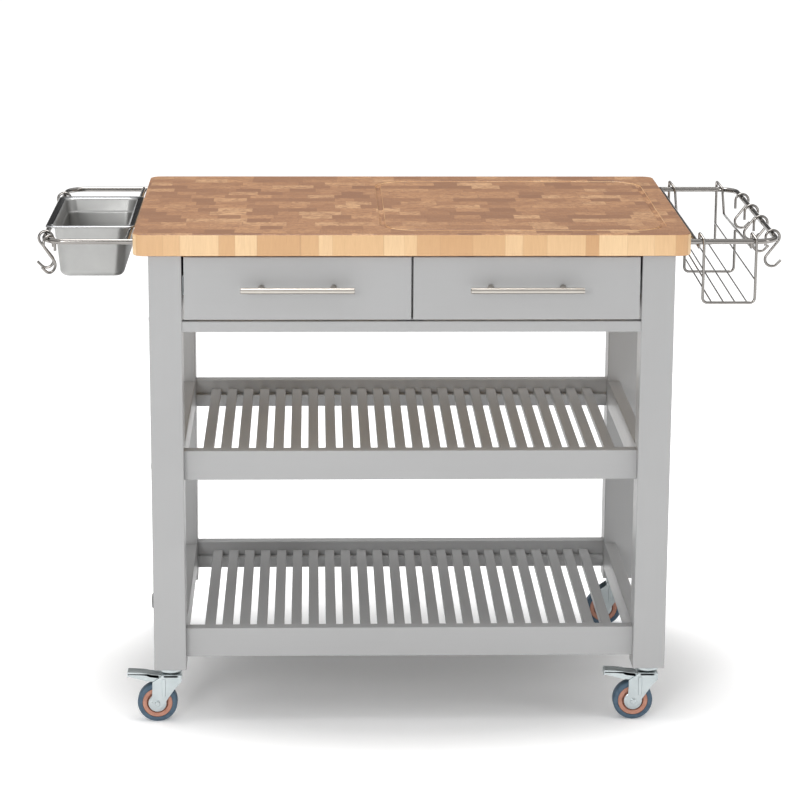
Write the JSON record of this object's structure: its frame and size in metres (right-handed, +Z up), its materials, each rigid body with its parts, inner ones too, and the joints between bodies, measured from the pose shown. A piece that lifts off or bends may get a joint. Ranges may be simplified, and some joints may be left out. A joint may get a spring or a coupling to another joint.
{
  "type": "kitchen island cart",
  "caption": "Rolling kitchen island: butcher-block worktop on a grey painted frame with drawers, slatted shelves, end bars, a hanging pan, wire basket, hooks and casters.",
  "frame": {"origin": "floor level, under the centre of the whole cart's bounding box, hooks and drawer pulls included", "axes": "+Z up, +X to the right of a person facing the drawers, and the drawers open towards -Y"},
  "size_m": [1.3812, 0.6736, 0.94],
  "materials": {
    "butcher_block": "oiled end-grain blocks, satin",
    "grey_paint": "satin light grey paint on solid wood",
    "birch": "clear lacquered birch",
    "brushed_nickel": "brushed satin nickel",
    "stainless_wire": "polished stainless wire and rod",
    "stainless_sheet": "satin stainless sheet",
    "zinc_plate": "bright zinc-plated pressed steel",
    "core_plastic": "moulded terracotta-coloured wheel core",
    "tyre_rubber": "dark slate-blue rubber tread",
    "black_plastic": "moulded black cap"
  },
  "bodies": {
    "frame": {"worktop": "butcher_block", "leg_front_left": "grey_paint", "leg_front_right": "grey_paint", "leg_back_left": "grey_paint", "leg_back_right": "grey_paint", "leg_bolt_cap": "black_plastic", "side_apron_left": "grey_paint", "side_apron_right": "grey_paint", "back_apron": "grey_paint", "front_case_rail": "grey_paint", "case_divider": "grey_paint", "runner_left_outer": "zinc_plate", "runner_left_inner": "zinc_plate", "runner_right_outer": "zinc_plate", "runner_right_inner": "zinc_plate", "shelf_lower_rail_front": "grey_paint", "shelf_lower_rail_back": "grey_paint", "shelf_lower_rail_left": "grey_paint", "shelf_lower_rail_right": "grey_paint", "shelf_lower_deck": "grey_paint", "shelf_middle_rail_front": "grey_paint", "shelf_middle_rail_back": "grey_paint", "shelf_middle_rail_left": "grey_paint", "shelf_middle_rail_right": "grey_paint", "shelf_middle_deck": "grey_paint", "hanging_bar_left": "stainless_wire", "hanging_bar_right": "stainless_wire", "caster_stem_front_left": "zinc_plate", "caster_stem_front_right": "zinc_plate", "caster_stem_back_left": "zinc_plate", "caster_stem_back_right": "zinc_plate"},
    "drawer_left": {"drawer_front_left": "grey_paint", "drawer_box_left": "birch", "drawer_pull_left": "brushed_nickel"},
    "drawer_right": {"drawer_front_right": "grey_paint", "drawer_box_right": "birch", "drawer_pull_right": "brushed_nickel"},
    "pan": {"pan": "stainless_sheet"},
    "basket": {"basket": "stainless_wire"},
    "hook_right_1": {"hook_right_1": "stainless_wire"},
    "hook_right_2": {"hook_right_2": "stainless_wire"},
    "hook_right_3": {"hook_right_3": "stainless_wire"},
    "hook_right_4": {"hook_right_4": "stainless_wire"},
    "hook_left_1": {"hook_left_1": "stainless_wire"},
    "hook_left_2": {"hook_left_2": "stainless_wire"},
    "hook_left_3": {"hook_left_3": "stainless_wire"},
    "caster_front_left": {"caster_fork_front_left": "zinc_plate"},
    "caster_front_right": {"caster_fork_front_right": "zinc_plate"},
    "caster_back_left": {"caster_fork_back_left": "zinc_plate"},
    "caster_back_right": {"caster_fork_back_right": "zinc_plate"},
    "wheel_front_left": {"wheel_core_front_left": "core_plastic", "tyre_front_left": "tyre_rubber"},
    "wheel_front_right": {"wheel_core_front_right": "core_plastic", "tyre_front_right": "tyre_rubber"},
    "wheel_back_left": {"wheel_core_back_left": "core_plastic", "tyre_back_left": "tyre_rubber"},
    "wheel_back_right": {"wheel_core_back_right": "core_plastic", "tyre_back_right": "tyre_rubber"},
    "pedal_front_left": {"brake_pedal_front_left": "zinc_plate"},
    "pedal_front_right": {"brake_pedal_front_right": "zinc_plate"}
  },
  "joints": [
    {"name": "drawer_left_slide", "type": "slide", "parent": "frame", "child": "drawer_left", "axis": [0, -1, 0], "range_m": [0, 0.36]},
    {"name": "drawer_right_slide", "type": "slide", "parent": "frame", "child": "drawer_right", "axis": [0, -1, 0], "range_m": [0, 0.36]},
    {"name": "pan_lift", "type": "slide", "parent": "frame", "child": "pan", "axis": [0, 0, 1], "range_m": [0, 0.12]},
    {"name": "basket_lift", "type": "slide", "parent": "frame", "child": "basket", "axis": [0, 0, 1], "range_m": [0, 0.05]},
    {"name": "hook_right_1_swing", "type": "hinge", "parent": "frame", "child": "hook_right_1", "pos_m": [0.672, 0.19375, 0.92], "axis": [0, 1, 0], "range_deg": [-60, 6]},
    {"name": "hook_right_2_swing", "type": "hinge", "parent": "frame", "child": "hook_right_2", "pos_m": [0.672, 0.06675, 0.92], "axis": [0, 1, 0], "range_deg": [-60, 6]},
    {"name": "hook_right_3_swing", "type": "hinge", "parent": "frame", "child": "hook_right_3", "pos_m": [0.672, -0.05425, 0.92], "axis": [0, 1, 0], "range_deg": [-60, 6]},
    {"name": "hook_right_4_swing", "type": "hinge", "parent": "frame", "child": "hook_right_4", "pos_m": [0.672, -0.20225, 0.92], "axis": [0, 1, 0], "range_deg": [-60, 6]},
    {"name": "hook_left_1_swing", "type": "hinge", "parent": "frame", "child": "hook_left_1", "pos_m": [-0.672, 0.20675, 0.92], "axis": [0, 1, 0], "range_deg": [-15, 60]},
    {"name": "hook_left_2_swing", "type": "hinge", "parent": "frame", "child": "hook_left_2", "pos_m": [-0.672, -0.21025, 0.92], "axis": [0, 1, 0], "range_deg": [-15, 60]},
    {"name": "hook_left_3_swing", "type": "hinge", "parent": "frame", "child": "hook_left_3", "pos_m": [-0.66173, -0.26002, 0.92], "axis": [-0.6691, 0.7431, 0], "range_deg": [-15, 25]},
    {"name": "caster_front_left_swivel", "type": "hinge", "parent": "frame", "child": "caster_front_left", "pos_m": [-0.45, -0.27325, 0.1], "axis": [0, 0, 1], "continuous": true},
    {"name": "caster_front_right_swivel", "type": "hinge", "parent": "frame", "child": "caster_front_right", "pos_m": [0.45, -0.27325, 0.1], "axis": [0, 0, 1], "continuous": true},
    {"name": "caster_back_left_swivel", "type": "hinge", "parent": "frame", "child": "caster_back_left", "pos_m": [-0.45, 0.29675, 0.1], "axis": [0, 0, 1], "continuous": true},
    {"name": "caster_back_right_swivel", "type": "hinge", "parent": "frame", "child": "caster_back_right", "pos_m": [0.45, 0.29675, 0.1], "axis": [0, 0, 1], "continuous": true},
    {"name": "wheel_front_left_spin", "type": "hinge", "parent": "caster_front_left", "child": "wheel_front_left", "pos_m": [-0.476, -0.27325, 0.0375], "axis": [0, 1, 0], "continuous": true},
    {"name": "wheel_front_right_spin", "type": "hinge", "parent": "caster_front_right", "child": "wheel_front_right", "pos_m": [0.424, -0.27325, 0.0375], "axis": [0, 1, 0], "continuous": true},
    {"name": "wheel_back_left_spin", "type": "hinge", "parent": "caster_back_left", "child": "wheel_back_left", "pos_m": [-0.476, 0.29675, 0.0375], "axis": [0, 1, 0], "continuous": true},
    {"name": "wheel_back_right_spin", "type": "hinge", "parent": "caster_back_right", "child": "wheel_back_right", "pos_m": [0.424, 0.29675, 0.0375], "axis": [0, 1, 0], "continuous": true},
    {"name": "brake_front_left_press", "type": "hinge", "parent": "caster_front_left", "child": "pedal_front_left", "pos_m": [-0.47, -0.27325, 0.089], "axis": [0, -1, 0], "range_deg": [0, 12]},
    {"name": "brake_front_right_press", "type": "hinge", "parent": "caster_front_right", "child": "pedal_front_right", "pos_m": [0.43, -0.27325, 0.089], "axis": [0, -1, 0], "range_deg": [0, 12]}
  ]
}
